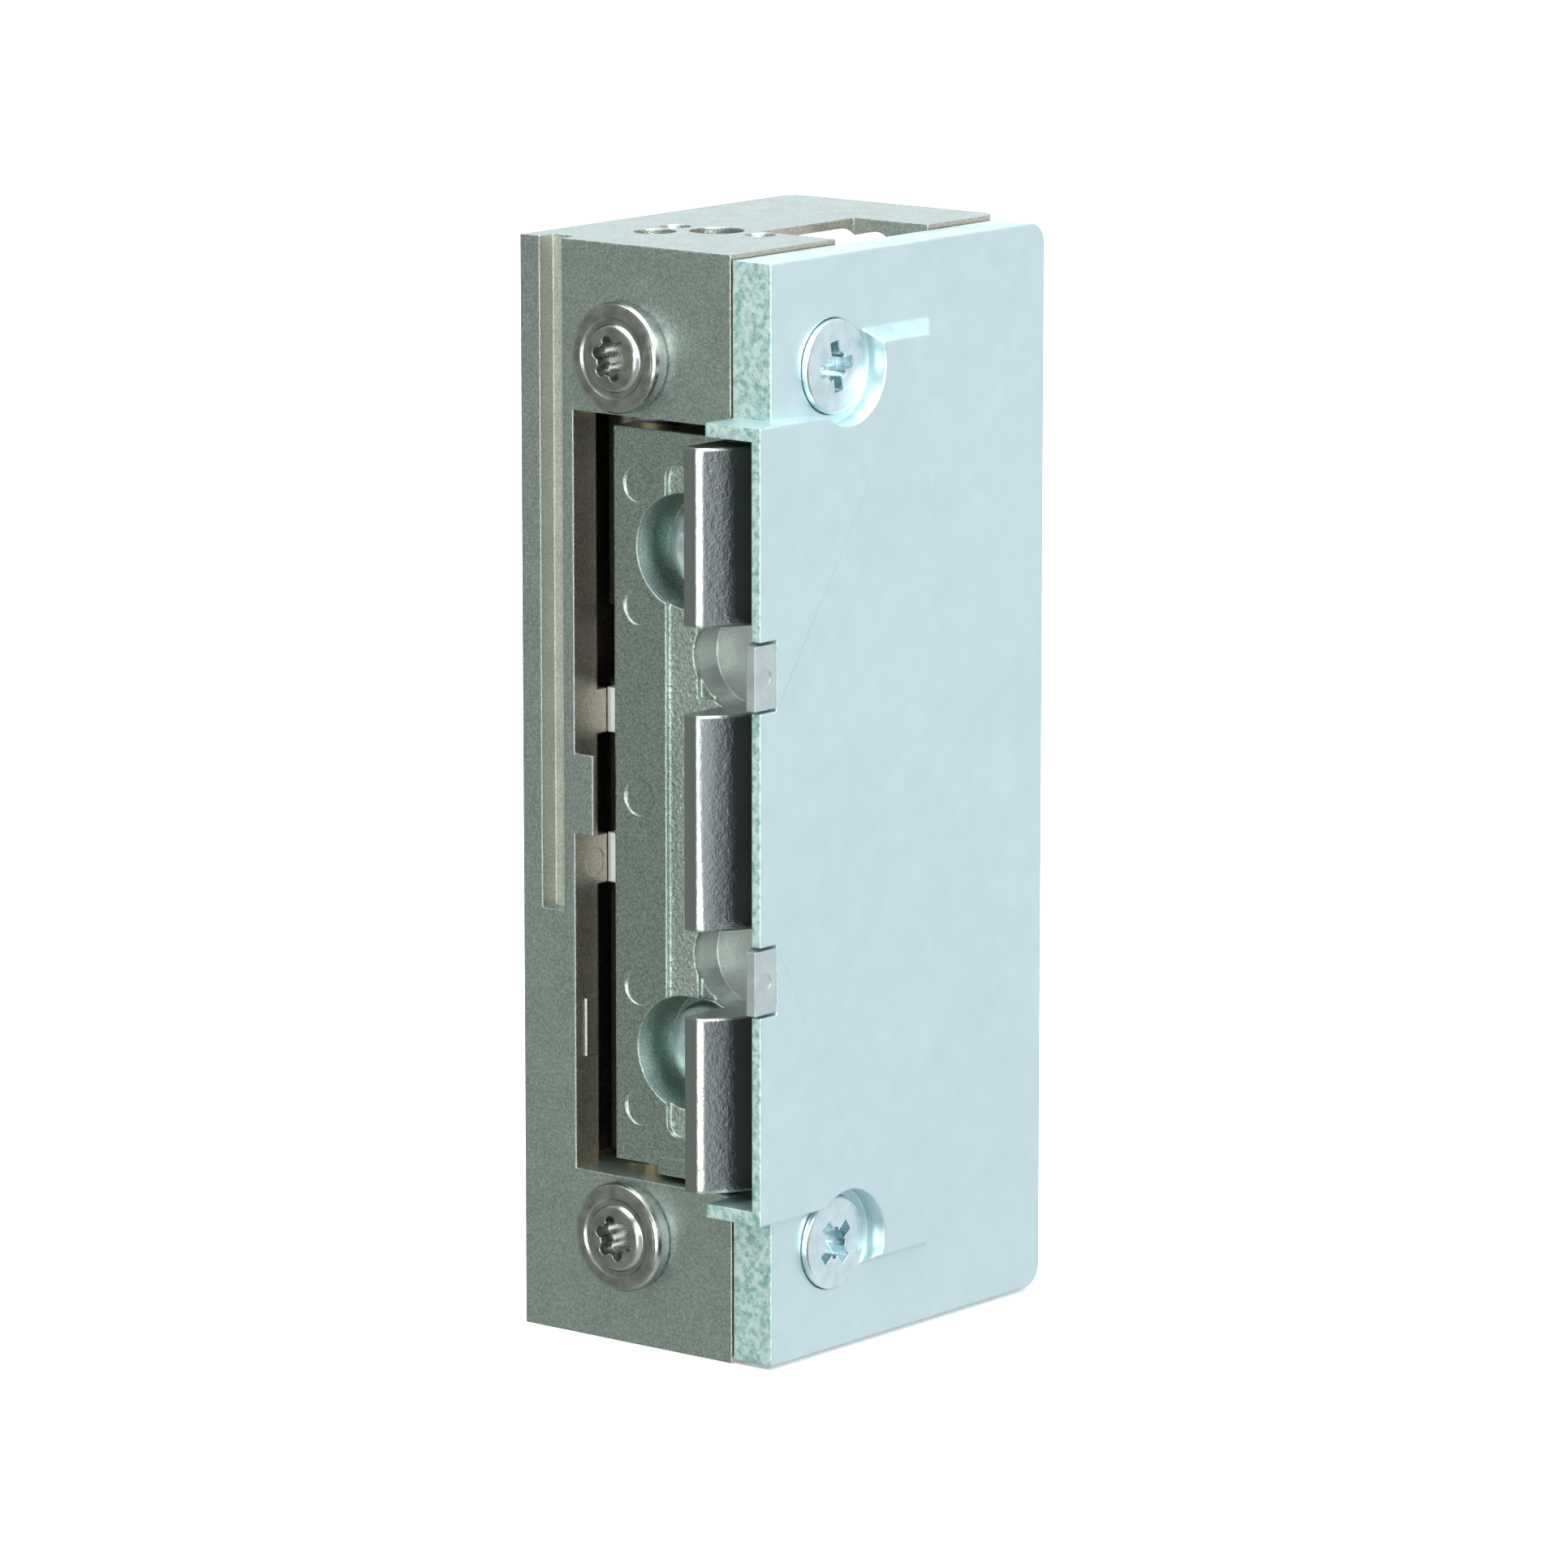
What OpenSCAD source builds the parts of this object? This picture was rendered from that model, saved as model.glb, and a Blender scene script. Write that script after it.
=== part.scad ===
/* [Case] */
// Width of the die-cast case across its front
case_w = 16; // [15.5:0.1:16.5]
// Depth of the case from front to back
case_d = 25.5; // [25.5:0.5:28]
// Height of the case
case_h = 66; // [66:1:72]
// Thickness of the case's left and front walls
wall = 2.1; // [1.9:0.05:2.2]
// Radius of the case's two back corners
corner_r = 1.3; // [0.5:0.1:2]
// Height of the latch opening in the front
opening_h = 45.8; // [45.6:0.1:46.4]
// Distance from the case's left face to the latch opening
opening_x = 4; // [3.6:0.1:4.2]

/* [Cover plate] */
// Thickness of the cover plate
cover_t = 2.85; // [2.6:0.05:3]
// How far the boss stands out of the cover plate
boss_rise = 1.4; // [1.2:0.1:1.8]
// Thickness of the thin flap in front of the keeper
flap_t = 0.65; // [0.5:0.05:0.7]
// How far the flap stands in front of the case
flap_reach = 2.7; // [2.2:0.1:2.9]

/* [Keeper] */
// Diameter of the keeper's pivot pin
pivot_d = 2.5; // [2:0.1:2.6]
// Distance from the pivot to the outside of the fingers
keeper_r = 14.1; // [13.6:0.05:14.15]
// How far the fingers stand in front of the case
finger_reach = 3.2; // [2.8:0.1:3.4]
// Travel of the adjustable keeper insert on its carrier
insert_travel = 1.2; // [0:0.1:1.2]

/* [Screws] */
// Thread diameter of the faceplate, cover and insert screws
screw_d = 3; // [2.5:0.1:3]
// Flange diameter of the faceplate screws
flange_d = 6.6; // [6:0.1:7]
// Core diameter of the threaded fixing holes in the case's ends
fixing_core_d = 3.3; // [3:0.1:3.4]

/* [Coil] */
// Outside diameter of the bobbin's flanges
bobbin_d = 9.2; // [8.6:0.1:9.2]
// Length of the bobbin
bobbin_h = 19.3; // [17:0.1:19.3]
// Diameter of the iron core
core_d = 4.4; // [4:0.1:4.6]

/* [Hidden] */
$fn = 96;

// Every module is drawn from the case's front lower left corner: x to the right along the
// front, y to the back, z up. at_case() moves the origin to the middle of the whole strike's base.
mid = case_h / 2;
running = 0.03;
through = 1;
cover_x = case_w + 0.15;
cover_face = cover_x + cover_t;
boss_face = cover_face + boss_rise;
cover_back = case_d + 0.5;
cover_margin = 0.3;
opening_half = opening_h / 2;
cavity_back = case_d - 1.9;

// Keeper
pivot = [5.4, 5.9];
hub_r = 2.75;
web_left = 6.3;
web_front = 1;
web_right = 15.2;
web_half = 22.1;
pad_left = 10;
pad_back = 5;
slim_half = 6.6;
slim_back = 3.6;
rib_z = [[27.1, 30.1], [36.2, 38.9]];
finger_gap = [6.4, 11.6];
gap_mid = 9;
insert_screw_x = 11.4;
insert_screw_h = 15.05;
insert_seat = 4.2;
carrier_half = 22.4;
carrier_right = 14.8;
carrier_back = 7.6;
spring_gap = [6.2, 10.8];
collar_half = 4;
collar_back = 4.5;

// Guide comb: a bar with two hooked arms, in rings about the pivot
comb_r = [13, 14.15];
comb_sweep = 42;
comb_arm_half = 1.9;
comb_bar = [14.4, case_w + 0.1];

// Screws
torx_x = 8;
torx_h = 26.4;
torx_head = 1.35;
cover_screw_y = 5.6;
cover_screw_h = 26.2;
cover_head_r = 2.8;
cover_head_face = cover_face + 0.4;
screw_r = screw_d / 2;

// Locking lever: its own frame has u along the lever and v towards the back
lever_pivot = [3.6, 14.5];
lever_angle = -27.6;
lever_len = 10;
lever_half = 1.25;
lever_z = [30.4, 34.2];
lug_u = [8.2, 9.8];
lug_v = [-1.25, -0.45];
lug_bottom = 29.1;
nose = [10.9, 8.2];
nose_r = 0.9;

// Armature: it tilts on the lower end of the yoke
hinge = [22.9, 36.7];
armature_tilt = 4.8;
plate_z = [36.1, 37.3];
arm_z = [26.7, 27.9];
tooth_top = 28.95;
tooth_back = (hinge[1] - tooth_top) * sin(armature_tilt);
anchor = [15.8, 15.2];
spring_x = 11.4;

// Coil
coil = [8, 17.6];
coil_z = 38.3;
bobbin_flange = 0.9;
bobbin_tube_r = core_d / 2 + 0.6;
winding_r = bobbin_d / 2 - 0.5;
coil_top = coil_z + bobbin_h;
yoke_x = [4.4, 11.6];
yoke_t = 1.2;

// Connection block
block_x = [10.4, case_w];
block_y = [9.7, 18.5];
block_bottom = 59;
contact_x = [12, 14.5];
contact_y = 17;
shelf_z = 63;
lead_r = 0.25;
lead_y = 18.68;

module at_case() {
    translate([-boss_face / 2, (finger_reach - cover_back) / 2, 0])
        children();
}

// A box between two values on each axis
module block(x, y, z) {
    translate([x[0], y[0], z[0]])
        cube([x[1] - x[0], y[1] - y[0], z[1] - z[0]]);
}

// Round rods along each axis; the rod's own axis takes a pair of values
module rod_x(x, y, z, r) {
    translate([x[0], y, z])
        rotate([0, 90, 0])
            cylinder(h = x[1] - x[0], r = r);
}

module rod_y(x, y, z, r) {
    translate([x, y[0], z])
        rotate([-90, 0, 0])
            cylinder(h = y[1] - y[0], r = r);
}

module rod_z(xy, z, r) {
    translate([xy[0], xy[1], z[0]])
        cylinder(h = z[1] - z[0], r = r);
}

// Draws the upper end and mirrors it to the lower end
module both_ends() {
    children();
    translate([0, 0, case_h])
        mirror([0, 0, 1])
            children();
}

// Rectangle whose two far corners are round
module round_back(w, d, r) {
    square([w, d - r]);
    translate([r, 0])
        square([w - 2 * r, d]);
    for (x = [r, w - r])
        translate([x, d - r])
            circle(r = r);
}

// Rectangle with four round corners, centred
module round_rect(w, h, r) {
    square([w, h - 2 * r], center = true);
    square([w - 2 * r, h], center = true);
    for (x = [-1, 1])
        for (y = [-1, 1])
            translate([x * (w / 2 - r), y * (h / 2 - r)])
                circle(r = r);
}

// Six-lobed driver recess
module lobed_recess(depth) {
    linear_extrude(depth) {
        circle(r = 1.04);
        for (a = [0:60:300])
            rotate(a)
                translate([1.04, 0])
                    circle(r = 0.36, $fn = 24);
    }
}

// Crossed driver recess with a small second cross between its arms
module crossed_recess(depth) {
    linear_extrude(depth) {
        for (a = [0, 90])
            rotate(a)
                square([3, 0.75], center = true);
        for (a = [45, 135])
            rotate(a)
                square([1.9, 0.4], center = true);
    }
}

// Close-wound coil made of rings that touch, along Z from its lowest ring
module wound(r, wire, count) {
    for (i = [0:count - 1])
        translate([0, 0, i * wire * 1.8])
            rotate_extrude()
                translate([r, 0])
                    circle(r = wire, $fn = 24);
}

// Wire along a list of points, with a slightly fuller ball at each bend
module wire(points, r) {
    for (i = [0:len(points) - 2]) {
        step = points[i + 1] - points[i];
        run = norm(step);
        translate(points[i])
            rotate([0, acos(step[2] / run), atan2(step[1], step[0])])
                cylinder(h = run, r = r, $fn = 24);
        if (i < len(points) - 2)
            translate(points[i + 1])
                sphere(r = r * 1.04, $fn = 24);
    }
}

module housing() {
    color([0.56, 0.56, 0.53])
    at_case() {
        difference() {
            union() {
                difference() {
                    linear_extrude(case_h)
                        round_back(case_w, case_d, corner_r);
                    case_cavities();
                }
                wall_ribs();
            }
            case_holes();
            rod_x([opening_x - 0.05, opening_x + through], 1.85, 28.5, 0.85);
            rod_z(lever_pivot, [lever_z[0] - 0.2, lever_z[1] + 0.2], 2.25);
        }
        case_details();
    }
}

// Two ribs that carry the latch opening's left wall further back, beside the keeper's ribs
module wall_ribs() {
    for (z = rib_z)
        block([wall - 0.1, opening_x], [wall - 0.1, 2.95], z);
}

// Latch opening, mechanism space, coil space, and the connection block's recess
module case_cavities() {
    opening_z = [mid - opening_half, mid + opening_half];
    block([opening_x, case_w + through], [-through, 3], opening_z);
    block([wall, case_w + through], [wall, 13], opening_z);
    block([wall, case_w + through], [12.9, cavity_back], [12, case_h - 4]);
    block([block_x[0], case_w + through], block_y, [block_bottom, case_h + through]);
    block([1.47, 3.2], [-through, 1.2], [25.7, case_h + through]);
}

module case_holes() {
    rod_z(pivot, [-through, case_h + through], pivot_d / 2 + running);
    both_ends() {
        rod_z([8, 8.5], [case_h - 4.2, case_h + through], fixing_core_d / 2);
        for (x = [4.8, 11.3])
            rod_z([x, 8.5], [case_h - 3, case_h + through], 0.95);
        rod_y(torx_x, [-through, 4.5], mid + torx_h, screw_r + running);
        rod_x([11, case_w + through], cover_screw_y, mid + cover_screw_h, screw_r + running);
    }
    rod_x([0.9, wall + through], anchor[0], anchor[1], 0.63);
}

// Tab and pad at the latch opening, lever bosses, armature ledge, comb ribs and yoke pips
module case_details() {
    block([opening_x - 0.5, 5.4], [0, 0.3], [30.5, 35.3]);
    block([opening_x - 0.2, opening_x + 0.1], [0.9, 1.9], [16.8, 20.3]);
    difference() {
        for (z = [[27.2, 30.2], [34.4, 35.7]]) {
            rod_z(lever_pivot, z, 2.2);
            block([wall - 0.2, lever_pivot[0]], [12.3, 16.7], z);
        }
        rod_z(lever_pivot, [27, 36], 1.03);
    }
    block([4.4, 9], [22.2, cavity_back + 0.2], [34.6, 36]);
    for (z = [[22, 25], [41, 44]])
        block([comb_bar[0], case_w], [15.7, cavity_back + 0.2], z);
    for (z = [43, 54])
        rod_y(coil[0], [22.45, cavity_back + 0.2], z, 1);
}

module cover_plate() {
    color([0.77, 0.85, 0.87])
    at_case()
        difference() {
            union() {
                translate([cover_x, 0, cover_margin])
                    rotate([90, 0, 90])
                        linear_extrude(cover_t)
                            translate([0, (case_h - 2 * cover_margin)])
                                rotate(-90)
                                    plate_outline();
                block([cover_x + 0.15, boss_face], [-flap_reach, cover_screw_y + 0.1],
                    [mid - opening_half - 0.65, mid + opening_half + 0.65]);
                cover_boss();
            }
            cover_cuts();
        }
}

// Outline of the plate, with its length along X and its back edge on +Y
module plate_outline() {
    round_back(case_h - 2 * cover_margin, cover_back, corner_r);
}

// Raised area: its back, upper and lower edges slope down to the plate
module cover_boss() {
    root = cover_face - 0.5;
    half = 27.4;
    intersection() {
        linear_extrude(case_h)
            polygon([[root, cover_screw_y], [boss_face, cover_screw_y], [boss_face, 13.1],
                [cover_face, 14.9], [root, 14.9]]);
        translate([0, 20, 0])
            rotate([90, 0, 0])
                linear_extrude(20)
                    polygon([[root, mid - half - 0.7], [cover_face, mid - half - 0.7],
                        [boss_face, mid - half], [boss_face, mid + half],
                        [cover_face, mid + half + 0.7], [root, mid + half + 0.7]]);
    }
}

// Space for the fingers, notches for the comb's hooks, and the screws' pockets
module cover_cuts() {
    inner = opening_half - 0.15;
    sweep_z = [mid - inner, mid + inner];
    block([cover_x - through, boss_face - flap_t], [-flap_reach - through, pivot[1]], sweep_z);
    rod_z(pivot, sweep_z, keeper_r + 0.15);
    both_ends() {
        z = mid + cover_screw_h;
        block([boss_face - flap_t - 0.1, boss_face + through], [-flap_reach - through, -1.2],
            [mid + gap_mid - 2.1, mid + gap_mid + 2.1]);
        rod_x([cover_face, boss_face + through], cover_screw_y, z, 3.4);
        rod_x([cover_x - through, cover_face], cover_screw_y, z, screw_r + 0.1);
        translate([cover_face, cover_screw_y, z])
            rotate([0, -90, 0])
                rotate_extrude()
                    polygon([[0, -0.1], [cover_head_r + 0.05, -0.1], [cover_head_r + 0.05, 0.1],
                        [screw_r + 0.1, 1.5], [0, 1.5]]);
    }
}

module guide_comb() {
    color([0.72, 0.7, 0.74])
    at_case()
        difference() {
            union() {
                for (side = [-1, 1])
                    translate([0, 0, mid + side * gap_mid - comb_arm_half])
                        linear_extrude(2 * comb_arm_half)
                            comb_arm();
                block(comb_bar, [13.6, 15.6], [mid - 13, mid + 13]);
            }
            for (side = [-1, 1])
                rod_x([boss_face - 0.05, boss_face + through], -2.25, mid + side * gap_mid, 0.5);
        }
}

// Outline of a hook and the arm behind it; a shallow round mark goes on each hook
module comb_arm() {
    outer = pivot[0] + comb_r[1];
    inner = pivot[0] + comb_r[0];
    tip = -finger_reach;
    polygon([[boss_face, tip], [boss_face, -1.25], [outer, -1.25], [outer, pivot[1]],
        [inner, pivot[1]], [inner, -0.4], [boss_face - flap_t, tip]]);
    translate(pivot)
        ring_sector();
}

// Flat ring from 0 to comb_sweep degrees
module ring_sector() {
    reach = 2 * comb_r[1];
    difference() {
        intersection() {
            circle(r = comb_r[1]);
            polygon([[0, 0], [reach, 0], [reach, reach * tan(comb_sweep)]]);
        }
        circle(r = comb_r[0]);
    }
}

module faceplate_screw(z) {
    color([0.66, 0.65, 0.62])
    at_case()
        difference() {
            union() {
                translate([torx_x, 0, z])
                    rotate([90, 0, 0])
                        rotate_extrude()
                            flange_profile(flange_d / 2);
                rod_y(torx_x, [-0.3, 4.3], z, screw_r);
            }
            translate([torx_x, -torx_head - 0.1, z])
                rotate([-90, 15, 0])
                    lobed_recess(1.3);
        }
}

// Half section of the flanged head: rounded rim, ring groove and a raised middle
module flange_profile(r) {
    polygon([[0, 0], [r - 0.1, 0], [r, 0.1], [r, 0.8], [r - 0.12, 1.02], [r - 0.4, 1.15],
        [r - 0.85, 1.18], [r - 1, 1.06], [r - 1.25, 1.06], [r - 1.4, 1.28],
        [r - 1.55, torx_head], [0, torx_head]]);
}

module faceplate_screw_upper() {
    faceplate_screw(mid + torx_h);
}

module faceplate_screw_lower() {
    faceplate_screw(mid - torx_h);
}

module cover_screw(z, turn) {
    color([0.82, 0.87, 0.88])
    at_case()
        difference() {
            union() {
                translate([cover_head_face, cover_screw_y, z])
                    rotate([0, -90, 0])
                        rotate_extrude()
                            polygon([[0, 0], [cover_head_r - 0.12, 0], [cover_head_r, 0.1],
                                [cover_head_r, 0.48], [screw_r, 1.8], [0, 1.8]]);
                rod_x([11.2, cover_head_face - 1.7], cover_screw_y, z, screw_r);
            }
            translate([cover_head_face + 0.1, cover_screw_y, z])
                rotate([turn, 0, 0])
                    rotate([0, -90, 0])
                        crossed_recess(1.3);
        }
}

module cover_screw_upper() {
    cover_screw(mid + cover_screw_h, 8);
}

module cover_screw_lower() {
    cover_screw(mid - cover_screw_h, 38);
}

module keeper_pivot_pin() {
    color([0.75, 0.75, 0.77])
    at_case()
        rod_z(pivot, [1.1, case_h - 1.1], pivot_d / 2);
}

module keeper_carrier() {
    color([0.5, 0.5, 0.48])
    at_case()
        difference() {
            union() {
                rod_z(pivot, [mid - carrier_half, mid + carrier_half], hub_r);
                for (z = [[mid - carrier_half, mid - slim_half], [mid + slim_half, mid + carrier_half]])
                    block([pivot[0], carrier_right], [pad_back, carrier_back], z);
                block([pivot[0], 11.8], [pad_back, 6.6], [mid - carrier_half, mid + carrier_half]);
                carrier_nose();
                for (z = rib_z)
                    block([3.9, pivot[0]], [pivot[1] - hub_r, pivot[1]], z);
            }
            carrier_bores();
        }
}

// The lobe that meets the locking lever
module carrier_nose() {
    translate([0, 0, lever_z[0] - 0.1])
        linear_extrude(lever_z[1] - lever_z[0] + 1.3) {
            translate(nose)
                circle(r = nose_r);
            polygon([[pivot[0], pad_back], [11.8, pad_back], [11.8, 6.6], [11.75, 8.2],
                [10.9, 9.1], [7, 8.4], [pivot[0], 8.4]]);
        }
}

// Pivot bore, bush seats, spaces for the return spring and the insert's collars, and threads
module carrier_bores() {
    rod_z(pivot, [-through, case_h + through], pivot_d / 2 + 0.2);
    both_ends() {
        z = mid + insert_screw_h;
        rod_z(pivot, [mid + carrier_half - 3, mid + carrier_half + through], 1.92);
        rod_y(insert_screw_x, [4, 9], z, screw_r + running);
        block([6.25, 8.3], [2, collar_back + 0.1], [z - collar_half - 0.1, z + collar_half + 0.1]);
    }
    block([0, 8.3], [0, 12], [mid + spring_gap[0], mid + spring_gap[1]]);
}

module carrier_bush(z, flange_z) {
    color([0.8, 0.65, 0.35])
    at_case()
        difference() {
            union() {
                rod_z(pivot, z, 1.9);
                rod_z(pivot, flange_z, 2.4);
            }
            rod_z(pivot, [-through, case_h + through], pivot_d / 2 + running);
        }
}

module carrier_bush_upper() {
    top = mid + carrier_half;
    carrier_bush([top - 2.9, top + 0.1], [top, top + 0.35]);
}

module carrier_bush_lower() {
    base = mid - carrier_half;
    carrier_bush([base - 0.1, base + 2.9], [base - 0.35, base]);
}

// Torsion spring on the pivot pin: one leg on the case's wall, one behind the carrier
module keeper_return_spring() {
    wire_r = 0.28;
    leg_r = 0.24;
    turns = 7;
    z = mid + spring_gap[0] + 0.5;
    last = z + (turns - 1) * wire_r * 1.8;
    color([0.7, 0.72, 0.74])
    at_case() {
        translate([pivot[0], pivot[1], z])
            wound(2, wire_r, turns);
        wire([[3.4, pivot[1], z], [2.5, 11.4, z]], leg_r);
        wire([[pivot[0], pivot[1] + 2, last], [10.4, pivot[1] + 2.05, last]], leg_r);
    }
}

module keeper_insert() {
    color([0.5, 0.49, 0.46])
    at_case()
        difference() {
            union() {
                block([web_left, web_right], [web_front, pivot[1] - hub_r - 0.05],
                    [mid - web_half, mid + web_half]);
                block([pad_left, web_right], [web_front, slim_back], [mid - web_half, mid + web_half]);
                both_ends() {
                    z = mid + insert_screw_h;
                    block([pad_left, web_right], [web_front, pad_back],
                        [mid + slim_half, mid + web_half]);
                    block([7.5, pad_left + 0.1], [web_front + 1, collar_back],
                        [z - collar_half, z + collar_half]);
                    finger([mid + finger_gap[1], mid + web_half], pad_back);
                }
                finger([mid - finger_gap[0], mid + finger_gap[0]], slim_back);
                block([9.7, web_right], [web_front - 0.25, slim_back],
                    [mid - web_half - 0.45, mid - web_half + 0.6]);
            }
            insert_cuts();
        }
}

// Finger with a flat left face, a narrow flat tip and a round outside about the pivot
module finger(z, back) {
    translate([0, 0, z[0]])
        linear_extrude(z[1] - z[0])
            intersection() {
                translate(pivot)
                    circle(r = keeper_r);
                polygon([[web_right - 0.1, -finger_reach], [web_right + 0.8, -finger_reach],
                    [web_right + 2, 0.72 - finger_reach], [20, 0.72 - finger_reach],
                    [20, back - 1.8], [web_right - 0.1, back]]);
            }
}

// Lowered face, ejector marks, screw slots and the round pockets between the fingers
module insert_cuts() {
    slot_end = insert_screw_x + insert_travel;
    translate([(10.25 + web_right + 1) / 2, web_front - through, mid])
        rotate([-90, 0, 0])
            linear_extrude(through + 0.3)
                intersection() {
                    round_rect(web_right + 1 - 10.25, 40.4, 0.8);
                    translate([-10, -30])
                        square([10 + (web_right - 11.25) / 2, 60]);
                }
    for (h = [0, -11.45, 11.45, -18.75, 18.75])
        rod_y(8.15, [web_front - through, web_front + 0.12], mid + h, 1.1);
    both_ends() {
        z = mid + insert_screw_h;
        block([12.4, web_right], [web_front - through, web_front + 0.6],
            [mid + finger_gap[0], mid + finger_gap[1]]);
        for (x = [insert_screw_x + 0.1, slot_end + 0.1])
            rod_y(x, [web_front, insert_seat], z, 3.45);
        block([insert_screw_x, slot_end], [web_front, insert_seat], [z - 3.45, z + 3.45]);
        for (x = [insert_screw_x, slot_end])
            rod_y(x, [insert_seat - 0.1, pad_back + through], z, screw_r + 0.1);
        block([insert_screw_x, slot_end], [insert_seat - 0.1, pad_back + through],
            [z - screw_r - 0.1, z + screw_r + 0.1]);
        rod_y(web_right - 0.1, [web_front, web_front + 2.4], mid + gap_mid, 3);
    }
}

module insert_screw(z) {
    head_face = insert_seat - 1.6;
    color([0.78, 0.83, 0.84])
    at_case()
        difference() {
            union() {
                translate([insert_screw_x, insert_seat - 0.02, z])
                    rotate([90, 0, 0])
                        rotate_extrude()
                            polygon([[0, 0], [2.75, 0], [2.75, 0.7], [2.5, 1.2], [2, 1.48],
                                [1.4, 1.58], [0, 1.58]]);
                rod_y(insert_screw_x, [insert_seat - 0.1, 7.4], z, screw_r);
            }
            translate([insert_screw_x, head_face - 0.1, z])
                rotate([-90, 20, 0])
                    crossed_recess(1.2);
        }
}

module insert_screw_upper() {
    insert_screw(mid + insert_screw_h);
}

module insert_screw_lower() {
    insert_screw(mid - insert_screw_h);
}

module locking_lever() {
    color([0.45, 0.45, 0.47])
    at_case()
        translate(lever_pivot)
            rotate(lever_angle)
                difference() {
                    union() {
                        block([0, lever_len], [-lever_half, lever_half], lever_z);
                        rod_z([0, 0], lever_z, 2.1);
                        block(lug_u, lug_v, [lug_bottom, lever_z[0] + 0.1]);
                    }
                    rod_z([0, 0], [20, 40], 1 + running);
                    rod_z([0, 0], [32.4, 40], 2.6);
                }
}

module lever_pin() {
    color([0.75, 0.75, 0.77])
    at_case()
        rod_z(lever_pivot, [27.3, 35.6], 1);
}

module lever_spring() {
    wire_r = 0.2;
    leg_r = 0.16;
    last = 32.65 + 3 * wire_r * 1.8;
    left = lever_pivot[0] - 1.2;
    color([0.7, 0.72, 0.74])
    at_case() {
        translate([lever_pivot[0], lever_pivot[1], 32.65])
            wound(1.35, wire_r, 4);
        wire([[left, lever_pivot[1], last], [left - 0.1, 18.4, last]], leg_r);
    }
}

// Iron plate under the coil, with an arm down and forward to the tooth that stops the lever
module armature() {
    color([0.4, 0.41, 0.43])
    at_case() {
        block([4.4, 13.2], [13.9, hinge[0]], plate_z);
        rod_x([4.4, 13.2], hinge[0], hinge[1], 0.55);
        block([9.6, 13.2], [15.2, 16.4], [arm_z[0], plate_z[0]]);
        block([10.6, 12.7], [11.3, 15.3], arm_z);
        translate([lever_pivot[0], lever_pivot[1] + tooth_back, 0])
            rotate(lever_angle)
                block([lug_u[0], lug_u[1] + 0.1], [lug_v[1] + 0.15, lug_v[1] + 1.15],
                    [arm_z[0], tooth_top]);
    }
}

module anti_stick_disc() {
    color([0.85, 0.7, 0.35])
    at_case()
        rod_z(coil, [plate_z[1], plate_z[1] + 0.1], 2);
}

module armature_spring() {
    wire_r = 0.2;
    leg_r = 0.17;
    color([0.7, 0.72, 0.74])
    at_case() {
        translate([spring_x, anchor[0], 17.4])
            wound(1.1, wire_r, 20);
        wire([[spring_x + 1.1, anchor[0], 24.2], [spring_x, anchor[0], 25.1],
            [spring_x, anchor[0], arm_z[0] - 0.03]], leg_r);
        wire([[spring_x + 1.1, anchor[0], 17.4], [spring_x, anchor[0], 16.9],
            [spring_x, anchor[0], anchor[1] + 0.85]], leg_r);
        translate([spring_x, anchor[0], anchor[1]])
            rotate([0, 90, 0])
                wound(0.9, wire_r, 1);
    }
}

module spring_anchor_pin() {
    color([0.75, 0.75, 0.77])
    at_case()
        rod_x([1, 13], anchor[0], anchor[1], 0.6);
}

module coil_bobbin() {
    color([0.9, 0.9, 0.86])
    at_case()
        difference() {
            union() {
                rod_z(coil, [coil_z, coil_top], bobbin_tube_r);
                rod_z(coil, [coil_z, coil_z + bobbin_flange], bobbin_d / 2);
                rod_z(coil, [coil_top - bobbin_flange, coil_top], bobbin_d / 2);
            }
            rod_z(coil, [coil_z - through, coil_top + through], core_d / 2 + running);
        }
}

// Tube around the coil's axis, between the bobbin's flanges
module coil_sleeve(inner, outer) {
    difference() {
        rod_z(coil, [coil_z + bobbin_flange + running, coil_top - bobbin_flange - running], outer);
        rod_z(coil, [coil_z, coil_top], inner);
    }
}

module coil_winding() {
    color([0.72, 0.4, 0.22])
    at_case()
        coil_sleeve(bobbin_tube_r + running, winding_r);
}

module coil_tape() {
    color([0.85, 0.75, 0.3])
    at_case()
        coil_sleeve(winding_r + running, winding_r + 0.18);
}

module coil_core() {
    color([0.6, 0.6, 0.62])
    at_case() {
        rod_z(coil, [coil_z - 0.27, coil_top + 0.05], core_d / 2);
        rod_z(coil, [coil_top, coil_top + yoke_t + 0.25], 1.4);
    }
}

// Bent iron strip: over the coil and down behind it
module coil_yoke() {
    top = [coil_top + 0.1, coil_top + 0.1 + yoke_t];
    color([0.42, 0.43, 0.45])
    at_case()
        difference() {
            union() {
                block(yoke_x, [14.2, cavity_back - 0.05], top);
                block(yoke_x, [22.4, cavity_back - 0.05], [plate_z[1] + 0.06, top[1]]);
            }
            rod_z(coil, [coil_top, coil_top + 3], 1.4 + running);
            for (z = [43, 54])
                rod_y(coil[0], [20, 25], z, 1 + running);
        }
}

// Insulating block with two round ribs in front and a shelf for the contacts behind
module terminal_block() {
    gap = 0.1;
    x = [block_x[0] + gap, block_x[1] - gap];
    step_y = 15.5;
    color([0.85, 0.86, 0.86])
    at_case()
        difference() {
            union() {
                block(x, [block_y[0] + gap, step_y], [block_bottom + gap, 64.5]);
                block(x, [block_y[0] + gap, 18.15], [block_bottom + gap, shelf_z]);
                for (cx = contact_x)
                    rod_y(cx, [block_y[0] + gap, step_y], 64.5, 1.25);
            }
            for (cx = contact_x)
                rod_z([cx, contact_y], [60, 64], 0.75 + running);
        }
}

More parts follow.
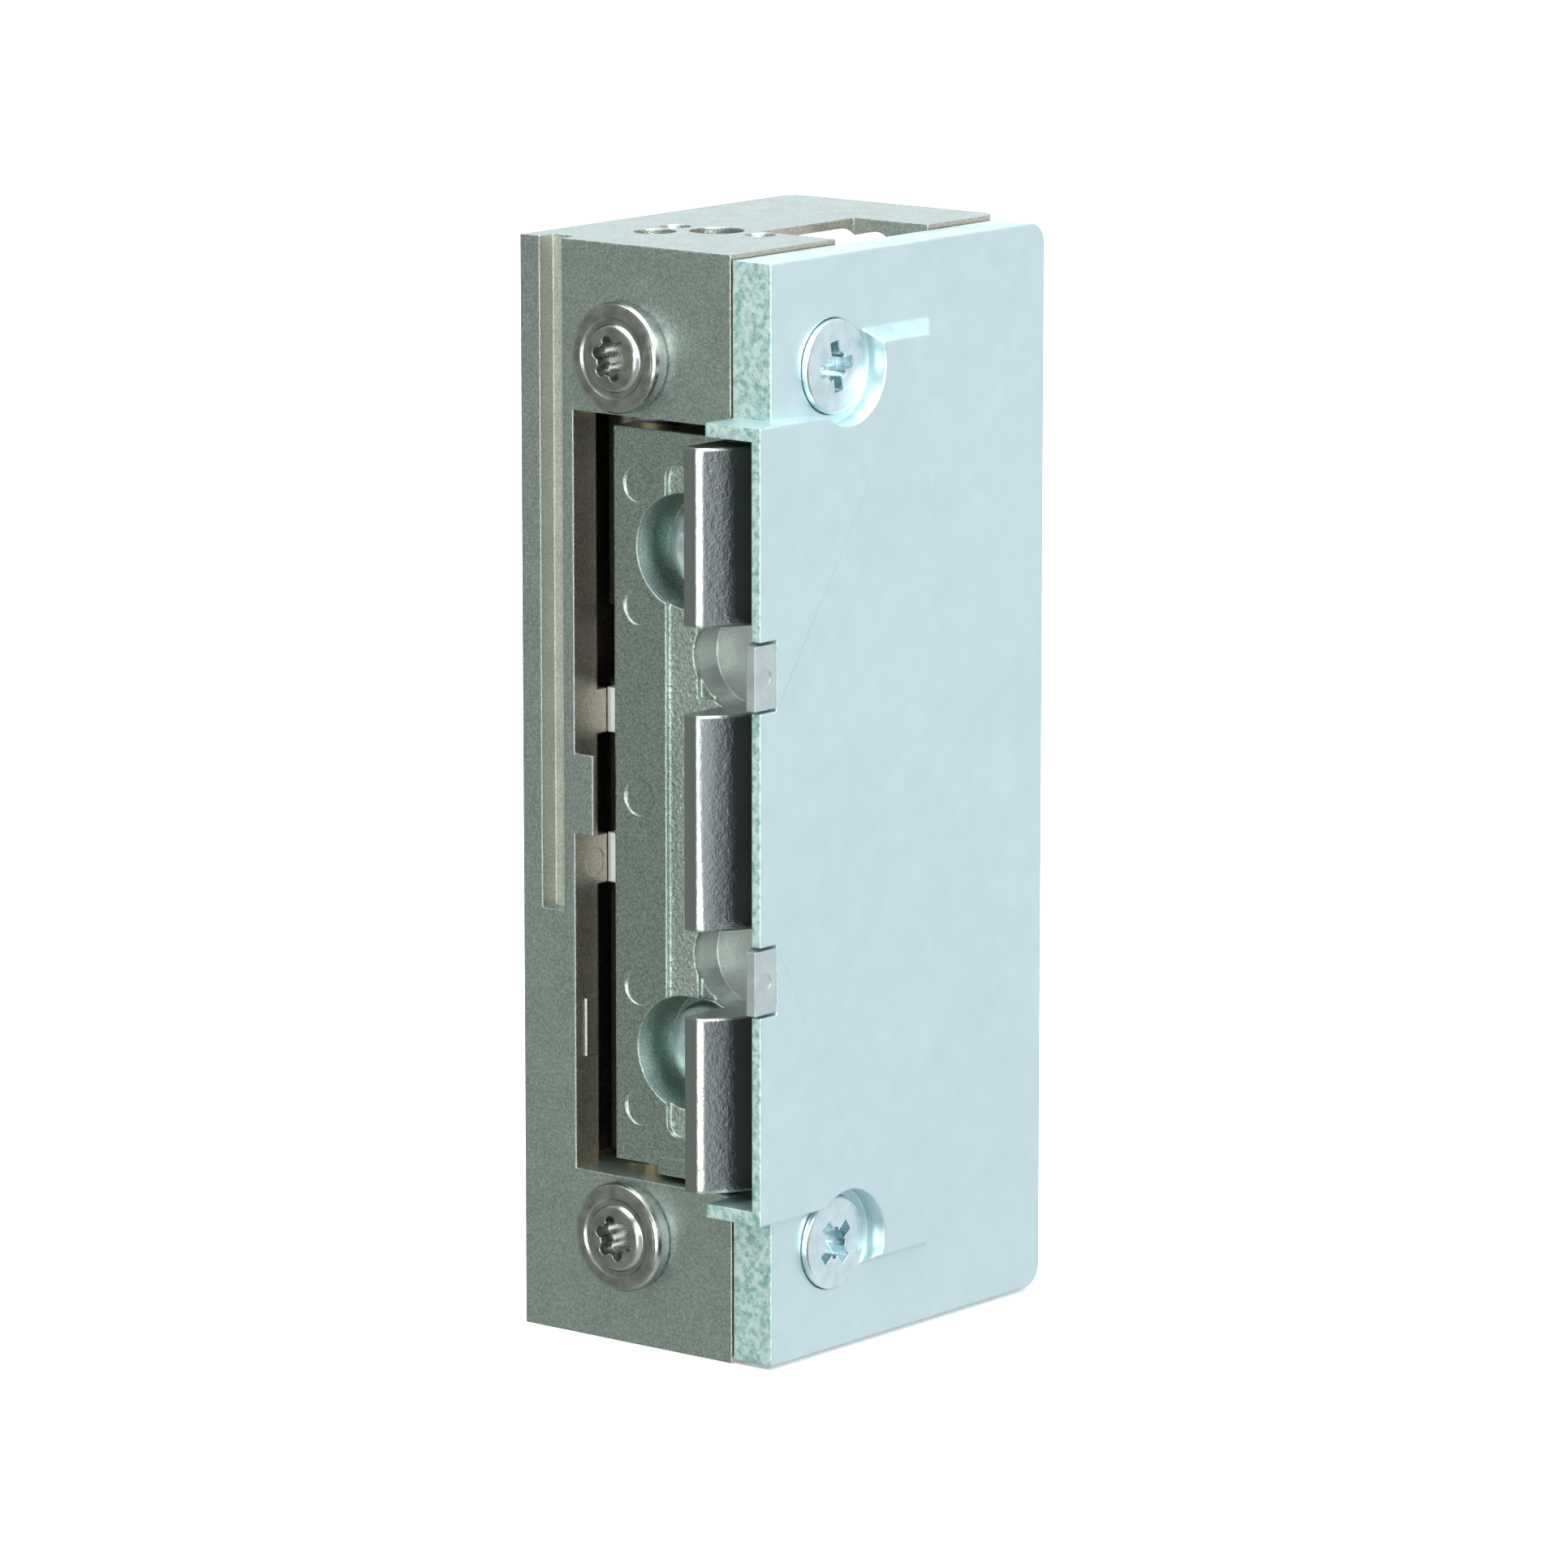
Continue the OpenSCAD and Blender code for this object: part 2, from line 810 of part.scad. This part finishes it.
// Brass strip under the screw, with a leg down to the coil's lead
module terminal_contact(x) {
    color([0.85, 0.7, 0.35])
    at_case()
        difference() {
            union() {
                block([x - 1.05, x + 1.05], [15.7, 18.4], [shelf_z, shelf_z + 0.4]);
                block([x - 0.5, x + 0.5], [18.17, 18.4], [60.5, shelf_z + 0.4]);
            }
            rod_z([x, contact_y], [60, 64], 0.75 + running);
        }
}

module terminal_contact_left() {
    terminal_contact(contact_x[0]);
}

module terminal_contact_right() {
    terminal_contact(contact_x[1]);
}

module terminal_screw(x) {
    color([0.8, 0.82, 0.84])
    at_case()
        difference() {
            union() {
                rod_z([x, contact_y], [60.2, shelf_z + 0.5], 0.75);
                rod_z([x, contact_y], [shelf_z + 0.4, shelf_z + 1.4], 1.15);
            }
            block([x - 2, x + 2], [contact_y - 0.2, contact_y + 0.2],
                [shelf_z + 0.9, shelf_z + 2]);
        }
}

module terminal_screw_left() {
    terminal_screw(contact_x[0]);
}

module terminal_screw_right() {
    terminal_screw(contact_x[1]);
}

module coil_lead_left() {
    z = coil_top + lead_r + 0.02;
    color([0.75, 0.15, 0.12])
    at_case()
        wire([[12.1, 17, z], [12.3, lead_y, 58.4], [contact_x[0], lead_y, 61]], lead_r);
}

module coil_lead_right() {
    z = coil_top + lead_r + 0.02;
    color([0.12, 0.12, 0.13])
    at_case()
        wire([[12, 19.6, z], [12.2, 19.5, 58.6], [contact_x[1], lead_y, 59.8],
            [contact_x[1], lead_y, 61]], lead_r);
}

module suppressor_diode() {
    spot = [14.4, 20.6];
    color([0.1, 0.1, 0.11])
    at_case() {
        rod_z(spot, [50, 54], 1);
        rod_z(spot, [47.5, 57], 0.3);
    }
}

housing();
cover_plate();
guide_comb();
faceplate_screw_upper();
faceplate_screw_lower();
cover_screw_upper();
cover_screw_lower();
keeper_pivot_pin();
keeper_carrier();
carrier_bush_upper();
carrier_bush_lower();
keeper_return_spring();
keeper_insert();
insert_screw_upper();
insert_screw_lower();
locking_lever();
lever_pin();
lever_spring();
armature();
anti_stick_disc();
armature_spring();
spring_anchor_pin();
coil_bobbin();
coil_winding();
coil_tape();
coil_core();
coil_yoke();
terminal_block();
terminal_contact_left();
terminal_contact_right();
terminal_screw_left();
terminal_screw_right();
coil_lead_left();
coil_lead_right();
suppressor_diode();
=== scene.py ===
import math

import bpy
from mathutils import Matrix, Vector


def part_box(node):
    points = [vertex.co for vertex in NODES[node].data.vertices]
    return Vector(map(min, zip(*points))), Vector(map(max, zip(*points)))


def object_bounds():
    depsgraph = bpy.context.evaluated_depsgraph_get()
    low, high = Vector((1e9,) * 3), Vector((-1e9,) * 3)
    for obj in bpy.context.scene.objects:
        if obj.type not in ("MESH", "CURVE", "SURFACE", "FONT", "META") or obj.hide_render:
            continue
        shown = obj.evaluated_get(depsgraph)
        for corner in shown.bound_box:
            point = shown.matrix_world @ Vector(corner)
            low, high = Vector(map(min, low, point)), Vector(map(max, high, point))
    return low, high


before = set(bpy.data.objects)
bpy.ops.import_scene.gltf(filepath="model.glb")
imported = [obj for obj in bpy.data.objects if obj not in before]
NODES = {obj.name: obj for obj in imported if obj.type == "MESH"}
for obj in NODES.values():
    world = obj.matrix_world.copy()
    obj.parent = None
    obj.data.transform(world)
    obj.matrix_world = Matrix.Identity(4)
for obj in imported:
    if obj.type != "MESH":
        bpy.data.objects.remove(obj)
CAD_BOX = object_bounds()
MM = 0.001

# ---------------------------------------------------------------- camera and stage

AZIMUTH = 38.915
ELEVATION = 10.73
DISTANCE = 0.5148
AIM_OFFSET = Vector((0.37, 0.24, -0.45)) * MM
LENS = 197.24
SENSOR_WIDTH = 36
FLOOR_SIZE = 12
FLOOR_GAP = 0.02 * MM


def centre(name):
    """Centre of a CAD node's box, in metres."""
    low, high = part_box(name)
    return (low + high) / 2


def box_centre():
    low, high = (Vector(corner) for corner in CAD_BOX)
    return (low + high) / 2


def direction(azimuth, elevation):
    """Unit vector from the object towards a viewer at that azimuth and elevation."""
    a, e = math.radians(azimuth), math.radians(elevation)
    return Vector((math.sin(a) * math.cos(e), -math.cos(a) * math.cos(e), math.sin(e)))


def make_camera():
    data = bpy.data.cameras.new("camera")
    data.lens = LENS
    data.sensor_width = SENSOR_WIDTH
    data.clip_start = 0.01
    data.clip_end = 20
    camera = bpy.data.objects.new("camera", data)
    towards = direction(AZIMUTH, ELEVATION)
    camera.location = box_centre() + AIM_OFFSET + towards * DISTANCE
    camera.rotation_euler = towards.to_track_quat("Z", "Y").to_euler()
    bpy.context.scene.collection.objects.link(camera)
    bpy.context.scene.camera = camera


def area_light(name, azimuth, elevation, distance, size, power):
    """A soft square light that faces the object."""
    data = bpy.data.lights.new(name, "AREA")
    data.size = size
    data.energy = power
    light = bpy.data.objects.new(name, data)
    towards = direction(azimuth, elevation)
    light.location = box_centre() + towards * distance
    light.rotation_euler = towards.to_track_quat("Z", "Y").to_euler()
    bpy.context.scene.collection.objects.link(light)


def card(tree, towards, start, end, colour, dark):
    """Colour that fades to dark about a direction; start and end are cosines of its cone."""
    coordinate = tree.nodes.new("ShaderNodeTexCoord")
    dot = tree.nodes.new("ShaderNodeVectorMath")
    dot.operation = "DOT_PRODUCT"
    dot.inputs[1].default_value = towards
    ramp = tree.nodes.new("ShaderNodeValToRGB")
    ramp.color_ramp.elements[0].position = start
    ramp.color_ramp.elements[0].color = (*colour, 1)
    ramp.color_ramp.elements[1].position = end
    ramp.color_ramp.elements[1].color = (*dark, 1)
    tree.links.new(coordinate.outputs["Generated"], dot.inputs[0])
    tree.links.new(dot.outputs["Value"], ramp.inputs["Fac"])
    return ramp.outputs["Color"]


def make_world():
    """A pale room with a grey card at the front left and a black one at the right."""
    world = bpy.data.worlds.new("studio")
    bpy.context.scene.world = world
    world.use_nodes = True
    tree = world.node_tree
    tree.nodes.clear()
    out = tree.nodes.new("ShaderNodeOutputWorld")
    background = tree.nodes.new("ShaderNodeBackground")
    grey = card(tree, direction(-39, -8), start=0.05, end=0.8,
                colour=(0.97, 1.0, 1.05), dark=(0.35, 0.37, 0.335))
    black = card(tree, direction(94, -10), start=0.84, end=0.96,
                 colour=(1, 1, 1), dark=(0, 0, 0))
    both = tree.nodes.new("ShaderNodeVectorMath")
    both.operation = "MULTIPLY"
    tree.links.new(grey, both.inputs[0])
    tree.links.new(black, both.inputs[1])
    tree.links.new(both.outputs[0], background.inputs["Color"])
    tree.links.new(background.outputs["Background"], out.inputs["Surface"])


def make_floor():
    """A pale floor just under the object, left out of its reflections."""
    low = CAD_BOX[0]
    bpy.ops.mesh.primitive_plane_add(size=FLOOR_SIZE, location=(0, 0, low[2] - FLOOR_GAP))
    floor = bpy.context.object
    floor.name = "floor"
    material = bpy.data.materials.new("floor_white")
    material.use_nodes = True
    shader = material.node_tree.nodes["Principled BSDF"]
    shader.inputs["Base Color"].default_value = (0.93, 0.93, 0.93, 1)
    shader.inputs["Roughness"].default_value = 0.9
    floor.data.materials.append(material)
    floor.visible_glossy = False


# ---------------------------------------------------------------- material helpers

EDGE_SAMPLES = 6


class Look:
    """A Principled material under construction, with object coordinates in millimetres."""

    def __init__(self, name):
        self.material = bpy.data.materials.new(name)
        self.material.use_nodes = True
        self.tree = self.material.node_tree
        self.shader = self.tree.nodes["Principled BSDF"]
        coordinate = self.tree.nodes.new("ShaderNodeTexCoord")
        scaled = self.tree.nodes.new("ShaderNodeVectorMath")
        scaled.operation = "SCALE"
        scaled.inputs["Scale"].default_value = 1 / MM
        self.link(coordinate.outputs["Object"], scaled.inputs[0])
        self.place = scaled.outputs[0]
        self.normal = coordinate.outputs["Normal"]

    def link(self, start, end):
        """Joins an output socket to an input socket."""
        self.tree.links.new(start, end)

    def feed(self, socket, value):
        """Gives an input a constant or another node's output."""
        if isinstance(value, bpy.types.NodeSocket):
            self.link(value, socket)
        else:
            socket.default_value = value

    def set(self, **inputs):
        """Sets inputs of the shader; an underscore stands for a space in their names."""
        for name, value in inputs.items():
            self.feed(self.shader.inputs[name.replace("_", " ")], value)

    def math(self, operation, a, b=0.0, clamp=False):
        """The result of a math operation on two values."""
        node = self.tree.nodes.new("ShaderNodeMath")
        node.operation = operation
        node.use_clamp = clamp
        self.feed(node.inputs[0], a)
        self.feed(node.inputs[1], b)
        return node.outputs[0]

    def noise(self, size, detail=2.0, stretch=(1, 1, 1), rough=0.5):
        """Noise whose grains are about size millimetres across."""
        mapping = self.tree.nodes.new("ShaderNodeMapping")
        mapping.inputs["Scale"].default_value = stretch
        self.link(self.place, mapping.inputs["Vector"])
        node = self.tree.nodes.new("ShaderNodeTexNoise")
        node.inputs["Scale"].default_value = 1 / size
        node.inputs["Detail"].default_value = detail
        node.inputs["Roughness"].default_value = rough
        self.link(mapping.outputs["Vector"], node.inputs["Vector"])
        return node.outputs["Fac"]

    def cells(self, size):
        """Distance to the nearest of scattered points about size millimetres apart."""
        node = self.tree.nodes.new("ShaderNodeTexVoronoi")
        node.inputs["Scale"].default_value = 1 / size
        self.link(self.place, node.inputs["Vector"])
        return node.outputs["Distance"]

    def span(self, value, low, high, out_low, out_high):
        """Maps value from low..high to out_low..out_high, clamped."""
        node = self.tree.nodes.new("ShaderNodeMapRange")
        self.feed(node.inputs["Value"], value)
        self.feed(node.inputs["From Min"], low)
        self.feed(node.inputs["From Max"], high)
        self.feed(node.inputs["To Min"], out_low)
        self.feed(node.inputs["To Max"], out_high)
        return node.outputs["Result"]

    def mix(self, share, a, b):
        """Colour a where share is 0, b where it is 1."""
        node = self.tree.nodes.new("ShaderNodeMix")
        node.data_type = "RGBA"
        self.feed(node.inputs["Factor"], share)
        for socket, colour in ((node.inputs["A"], a), (node.inputs["B"], b)):
            self.feed(socket, colour if isinstance(colour, bpy.types.NodeSocket) else (*colour, 1))
        return node.outputs["Result"]

    def axis(self, vector, name):
        """One of a vector's parts, by its letter."""
        node = self.tree.nodes.new("ShaderNodeSeparateXYZ")
        self.link(vector, node.inputs[0])
        return node.outputs[name]

    def rounded(self, radius):
        """Normals that run around sharp edges with that radius in millimetres."""
        node = self.tree.nodes.new("ShaderNodeBevel")
        node.samples = EDGE_SAMPLES
        if isinstance(radius, bpy.types.NodeSocket):
            radius = self.math("MULTIPLY", radius, MM)
            self.link(radius, node.inputs["Radius"])
        else:
            node.inputs["Radius"].default_value = radius * MM
        return node.outputs["Normal"]

    def near(self, value, target, reach):
        """1 where value lies within reach of target, else 0."""
        node = self.tree.nodes.new("ShaderNodeMath")
        node.operation = "COMPARE"
        self.link(value, node.inputs[0])
        node.inputs[1].default_value = target
        node.inputs[2].default_value = reach
        return node.outputs[0]

    def bump(self, height, depth, strength=1.0, under=None):
        """A bump of depth millimetres; under is a bump that it lies on."""
        node = self.tree.nodes.new("ShaderNodeBump")
        node.inputs["Distance"].default_value = depth * MM
        self.feed(node.inputs["Strength"], strength)
        self.link(height, node.inputs["Height"])
        if under is not None:
            self.link(under, node.inputs["Normal"])
        return node.outputs["Normal"]


def case_material():
    """Nickel-plated die casting: sparkling grain over faint clouds, with a painted brownish
    reflection on faces towards +X.
    """
    look = Look("nickel_casting")
    clouds = look.noise(2.2, 3)
    fine = look.noise(0.13, 3, rough=0.7)
    cloud_share = look.span(clouds, 0.35, 0.65, 0, 0.14)
    grain_share = look.span(fine, 0.38, 0.68, 0, 0.86)
    share = look.math("ADD", cloud_share, grain_share, True)
    satin = look.mix(share, (0.34, 0.42, 0.39), (0.62, 0.73, 0.69))
    # painted reflection: faces towards +X get a brownish tone for the nickel they mirror
    reflected_brown = look.mix(share, (0.36, 0.33, 0.27), (0.66, 0.6, 0.52))
    side = look.span(look.axis(look.normal, "X"), 0.8, 0.95, 0, 1)
    look.set(Base_Color=look.mix(side, satin, reflected_brown), Metallic=1.0)
    look.set(Roughness=look.span(fine, 0.3, 0.7, 0.3, 0.46))
    waves = look.bump(look.noise(0.9, 2), 0.02, 0.25, look.rounded(0.15))
    look.set(Normal=look.bump(fine, 0.03, 0.8, waves))
    return look.material


def scoop_mask(look, across, depth, height, web_front):
    """1 on the two round scoops between the keeper's fingers."""
    middle = centre("keeper_insert").z / MM
    finger_edge = centre("faceplate_screw_upper").x / MM + 7.1
    scoop_height = 9
    scoop_radius = 3.1
    off_middle = look.math("ABSOLUTE", look.math("SUBTRACT", height, middle))
    level = look.near(off_middle, scoop_height, scoop_radius)
    beside = look.near(across, finger_edge - 1.4, 1.7)
    behind = look.math("GREATER_THAN", depth, web_front + 0.7)
    return look.math("MULTIPLY", look.math("MULTIPLY", level, beside), behind)


def keeper_material():
    """Nickel with fine grain, a sandy strip, fingers with orange peel and painted shade, and
    painted light in the scoops.
    """
    look = Look("nickel_keeper")
    finger_reach = 4.2
    strip_depth = 0.3
    web_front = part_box("keeper_insert")[0].y / MM + finger_reach
    across = look.axis(look.place, "X")
    depth = look.axis(look.place, "Y")
    height = look.axis(look.place, "Z")
    fingers = look.math("LESS_THAN", depth, web_front - 1)
    strip = look.near(depth, web_front + strip_depth, 0.06)
    scoops = scoop_mask(look, across, depth, height, web_front)

    fine = look.noise(0.12, 3, rough=0.6)
    grain = look.span(fine, 0.35, 0.68, 0, 1)
    plain = look.mix(grain, (0.26, 0.335, 0.305), (0.56, 0.67, 0.61))
    sandy = look.math("MULTIPLY", strip, look.span(look.noise(0.22, 2), 0.4, 0.6, 0.2, 1))
    plain = look.mix(sandy, plain, (0.7, 0.8, 0.76))
    # painted shade: the fingers get a darker base colour
    finger_shade_tone = look.mix(fingers, plain, (0.34, 0.375, 0.365))
    # painted light: the scoops get a pale, less metallic colour for the light that falls into them
    look.set(Base_Color=look.mix(scoops, finger_shade_tone, (0.5, 0.55, 0.52)))
    look.set(Metallic=look.math("SUBTRACT", 1.0, look.math("MULTIPLY", scoops, 0.35)))

    rough = look.span(fine, 0.3, 0.7, 0.26, 0.36)
    rough = look.math("ADD", rough, look.math("MULTIPLY", strip, 0.1))
    look.set(Roughness=look.math("SUBTRACT", rough, look.math("MULTIPLY", fingers, 0.13)))
    edges = look.rounded(look.math("ADD", 0.2, look.math("MULTIPLY", fingers, 0.1)))
    sand = look.bump(look.noise(0.2, 2), 0.09, strip, edges)
    peel = look.bump(look.noise(0.34, 2), 0.028, look.math("MULTIPLY", fingers, 0.8), sand)
    look.set(Normal=look.bump(fine, 0.024, 0.7, peel))
    return look.material


def carrier_material():
    """Dull nickel, with painted light on two ribs beside the latch opening."""
    look = Look("nickel_carrier")
    middle = centre("keeper_carrier").z / MM
    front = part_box("keeper_carrier")[0].y / MM
    height = look.axis(look.place, "Z")
    facing = look.near(look.axis(look.place, "Y"), front, 0.3)
    lower = look.math("MULTIPLY", look.near(height, middle - 4.4, 1.6), facing)
    upper = look.math("MULTIPLY", look.near(height, middle + 4.55, 1.45), facing)
    ribs = look.math("ADD", lower, upper, True)
    fine = look.noise(0.12, 3)
    grain = look.span(fine, 0.35, 0.65, 0, 1)
    dull = look.mix(grain, (0.12, 0.125, 0.125), (0.24, 0.25, 0.25))
    # painted light: the two ribs get a pale, less metallic colour for the light that falls on them
    look.set(Base_Color=look.mix(ribs, dull, (0.8, 0.84, 0.8)))
    look.set(Metallic=look.math("SUBTRACT", 1.0, look.math("MULTIPLY", ribs, 0.6)), Roughness=0.42)
    look.set(Normal=look.bump(fine, 0.01, 0.5, look.rounded(0.1)))
    return look.material


def cover_material():
    """Zinc-plated plate: soft mottle, a crystalline sheared front edge and painted shade on the
    inner face.
    """
    look = Look("zinc_plate")
    depth = look.axis(look.place, "Y")
    edge_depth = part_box("cover_plate")[0].y / MM + 3.2
    swing_space = 10
    front = look.span(look.axis(look.normal, "Y"), -0.92, -0.75, 1, 0)
    front = look.math("MULTIPLY", front, look.math("LESS_THAN", depth, edge_depth))
    shaded_inside = look.span(look.axis(look.normal, "X"), -0.9, -0.6, 1, 0)
    shaded_inside = look.math("MULTIPLY", shaded_inside, look.math("LESS_THAN", depth, edge_depth + swing_space))

    mottle = look.noise(1.4, 4, rough=0.6)
    haze = look.span(look.noise(7, 2), 0.35, 0.65, 0, 0.4)
    share = look.math("ADD", look.span(mottle, 0.35, 0.68, 0, 0.6), haze, True)
    face = look.mix(share, (0.61, 0.76, 0.775), (0.67, 0.815, 0.83))
    # painted shade: the inner face of the flap is coloured near black
    face = look.mix(shaded_inside, face, (0.1, 0.11, 0.11))
    spangle = look.math("MULTIPLY", look.cells(0.55), 0.25)
    crystals = look.math("ADD", look.noise(0.35, 4, rough=0.7), spangle)
    edge = look.mix(look.span(crystals, 0.45, 0.72, 0, 1), (0.24, 0.46, 0.44), (0.64, 0.8, 0.78))
    look.set(Base_Color=look.mix(front, face, edge))
    look.set(Metallic=look.math("SUBTRACT", 1.0, look.math("MULTIPLY", front, 0.3)))

    rough = look.span(mottle, 0.3, 0.7, 0.4, 0.5)
    look.set(Roughness=look.math("ADD", rough, look.math("MULTIPLY", front, -0.08)))
    torn_strength = look.math("MULTIPLY", front, 0.8)
    torn = look.bump(look.noise(0.5, 4, rough=0.65), 0.12, torn_strength, look.rounded(0.2))
    look.set(Normal=look.bump(look.noise(0.16, 2), 0.008, 0.4, torn))
    return look.material


def comb_material():
    """Dull cast metal with soft clouds."""
    look = Look("comb_casting")
    clouds = look.noise(0.8, 2)
    share = look.span(clouds, 0.35, 0.65, 0, 1)
    look.set(Base_Color=look.mix(share, (0.37, 0.42, 0.43), (0.43, 0.49, 0.49)))
    look.set(Metallic=0.75, Roughness=look.span(clouds, 0.3, 0.7, 0.36, 0.44))
    look.set(Normal=look.bump(look.noise(0.12, 2), 0.006, 0.4, look.rounded(0.15)))
    return look.material


def turned_metal(name, colour, shade, rough, middle, axis):
    """Plated metal turned about an axis through middle: fine rings and faint stains."""
    look = Look(name)
    rings_per_mm = 42
    away = look.tree.nodes.new("ShaderNodeVectorMath")
    away.operation = "SUBTRACT"
    look.link(look.place, away.inputs[0])
    away.inputs[1].default_value = middle / MM
    parts = [look.axis(away.outputs[0], letter) for letter in "XYZ" if letter != axis]
    squares = [look.math("MULTIPLY", part, part) for part in parts]
    radius = look.math("SQRT", look.math("ADD", squares[0], squares[1]))
    rings = look.math("SINE", look.math("MULTIPLY", radius, rings_per_mm))
    stain = look.noise(0.9, 3)
    look.set(Base_Color=look.mix(look.span(stain, 0.35, 0.65, 0, 1), shade, colour), Metallic=1.0)
    look.set(Roughness=look.span(stain, 0.3, 0.7, rough - 0.04, rough + 0.07))
    ringed = look.bump(rings, 0.006, 0.35, look.rounded(0.1))
    look.set(Normal=look.bump(look.noise(0.14, 2), 0.006, 0.4, ringed))
    return look.material


def plain_metal(name, colour, rough):
    """Bare or plated metal with faint clouds and fine grain."""
    look = Look(name)
    clouds = look.noise(0.9, 3)
    dark = tuple(part * 0.82 for part in colour)
    look.set(Base_Color=look.mix(look.span(clouds, 0.35, 0.65, 0, 1), dark, colour), Metallic=1.0)
    look.set(Roughness=look.span(clouds, 0.3, 0.7, rough - 0.05, rough + 0.08))
    look.set(Normal=look.bump(look.noise(0.1, 2), 0.006, 0.5, look.rounded(0.06)))
    return look.material


def plastic(name, colour, rough):
    """Moulded plastic with faint clouds and a fine moulded grain."""
    look = Look(name)
    clouds = look.noise(1.2, 2)
    dark = tuple(part * 0.9 for part in colour)
    look.set(Base_Color=look.mix(look.span(clouds, 0.35, 0.65, 0, 1), dark, colour))
    look.set(Roughness=look.span(clouds, 0.3, 0.7, rough - 0.05, rough + 0.05))
    look.set(Normal=look.bump(look.noise(0.18, 2), 0.008, 0.5, look.rounded(0.1)))
    return look.material


def winding_material():
    """Enamelled wire laid side by side, seen as fine rings along Z."""
    look = Look("enamelled_wire")
    wire_pitch = 0.12
    phase = look.math("MULTIPLY", look.axis(look.place, "Z"), 2 * math.pi / wire_pitch)
    turns = look.math("SINE", phase)
    clouds = look.noise(0.6, 2)
    share = look.span(clouds, 0.3, 0.7, 0, 1)
    look.set(Base_Color=look.mix(share, (0.36, 0.12, 0.04), (0.6, 0.26, 0.1)))
    look.set(Metallic=0.6, Roughness=0.28, Normal=look.bump(turns, 0.03, 0.8))
    return look.material


# ---------------------------------------------------------------- edges and materials

WELD_DISTANCE = 1e-7


def soften(width, angle, *names):
    """Rounds CAD nodes' edges sharper than angle by width millimetres, with modifiers only."""
    for name in names:
        node = NODES[name]
        weld = node.modifiers.new("weld", "WELD")
        weld.merge_threshold = WELD_DISTANCE
        bevel = node.modifiers.new("bevel", "BEVEL")
        bevel.width = width * MM
        bevel.segments = 2
        bevel.limit_method = "ANGLE"
        bevel.angle_limit = math.radians(angle)
        bevel.use_clamp_overlap = True
        bevel.miter_outer = "MITER_ARC"
        normals = node.modifiers.new("normals", "WEIGHTED_NORMAL")
        normals.keep_sharp = True


def give(material, *names):
    """Puts one material on each of the named CAD nodes."""
    for name in names:
        slots = NODES[name].data.materials
        slots.clear()
        slots.append(material)


FACEPLATE_SCREWS = ("faceplate_screw_upper", "faceplate_screw_lower")
COVER_SCREWS = ("cover_screw_upper", "cover_screw_lower")
INSERT_SCREWS = ("insert_screw_upper", "insert_screw_lower")


def soften_edges():
    soften(0.16, 34, "housing", "cover_plate")
    soften(0.09, 34, "keeper_insert", "keeper_carrier", "guide_comb", "terminal_block")
    soften(0.06, 28, *FACEPLATE_SCREWS, *COVER_SCREWS, *INSERT_SCREWS)


def give_cast_and_sheet():
    give(case_material(), "housing")
    give(cover_material(), "cover_plate")
    give(keeper_material(), "keeper_insert")
    give(carrier_material(), "keeper_carrier")
    give(comb_material(), "guide_comb")


def give_screws():
    """Brownish faceplate screws turned about Y, blue cover screws about X, pale insert screws."""
    for name in FACEPLATE_SCREWS:
        give(turned_metal(name + "_look", colour=(0.42, 0.44, 0.42), shade=(0.29, 0.3, 0.285),
                          rough=0.25, middle=centre(name), axis="Y"), name)
    for name in COVER_SCREWS:
        give(turned_metal(name + "_look", colour=(0.68, 0.8, 0.82), shade=(0.54, 0.66, 0.68),
                          rough=0.24, middle=centre(name), axis="X"), name)
    for name in INSERT_SCREWS:
        give(turned_metal(name + "_look", colour=(0.86, 0.95, 0.97), shade=(0.72, 0.82, 0.84),
                          rough=0.36, middle=centre(name), axis="Y"), name)


def give_small_metal():
    give(plain_metal("ground_pin", (0.7, 0.7, 0.7), 0.25),
         "keeper_pivot_pin", "lever_pin", "spring_anchor_pin")
    give(plain_metal("sintered_lever", (0.42, 0.42, 0.43), 0.42), "locking_lever")
    give(plain_metal("turned_brass", (0.82, 0.62, 0.3), 0.28),
         "carrier_bush_upper", "carrier_bush_lower", "anti_stick_disc",
         "terminal_contact_left", "terminal_contact_right")
    give(plain_metal("spring_wire", (0.66, 0.66, 0.67), 0.25),
         "keeper_return_spring", "lever_spring", "armature_spring")
    give(plain_metal("soft_iron", (0.38, 0.39, 0.41), 0.45), "armature", "coil_core", "coil_yoke")
    give(plain_metal("zinc_small_screw", (0.76, 0.8, 0.82), 0.27),
         "terminal_screw_left", "terminal_screw_right")


def give_coil_and_plastic():
    give(plastic("bobbin_plastic", (0.82, 0.82, 0.78), 0.5), "coil_bobbin")
    give(plastic("tape_plastic", (0.75, 0.58, 0.16), 0.35), "coil_tape")
    give(plastic("terminal_plastic", (0.56, 0.59, 0.61), 0.5), "terminal_block")
    give(plastic("red_lead", (0.6, 0.05, 0.04), 0.45), "coil_lead_left")
    give(plastic("black_lead", (0.03, 0.03, 0.032), 0.45), "coil_lead_right", "suppressor_diode")
    give(winding_material(), "coil_winding")


def make_lights():
    area_light("key", azimuth=62, elevation=26, distance=0.9, size=0.4, power=7)
    area_light("front", azimuth=20, elevation=-6, distance=0.9, size=0.4, power=4)
    area_light("top", azimuth=39, elevation=82, distance=1.0, size=1.0, power=14)


make_camera()
make_world()
make_floor()
make_lights()
soften_edges()
give_cast_and_sheet()
give_screws()
give_small_metal()
give_coil_and_plastic()

bpy.context.scene.view_settings.view_transform = "Standard"
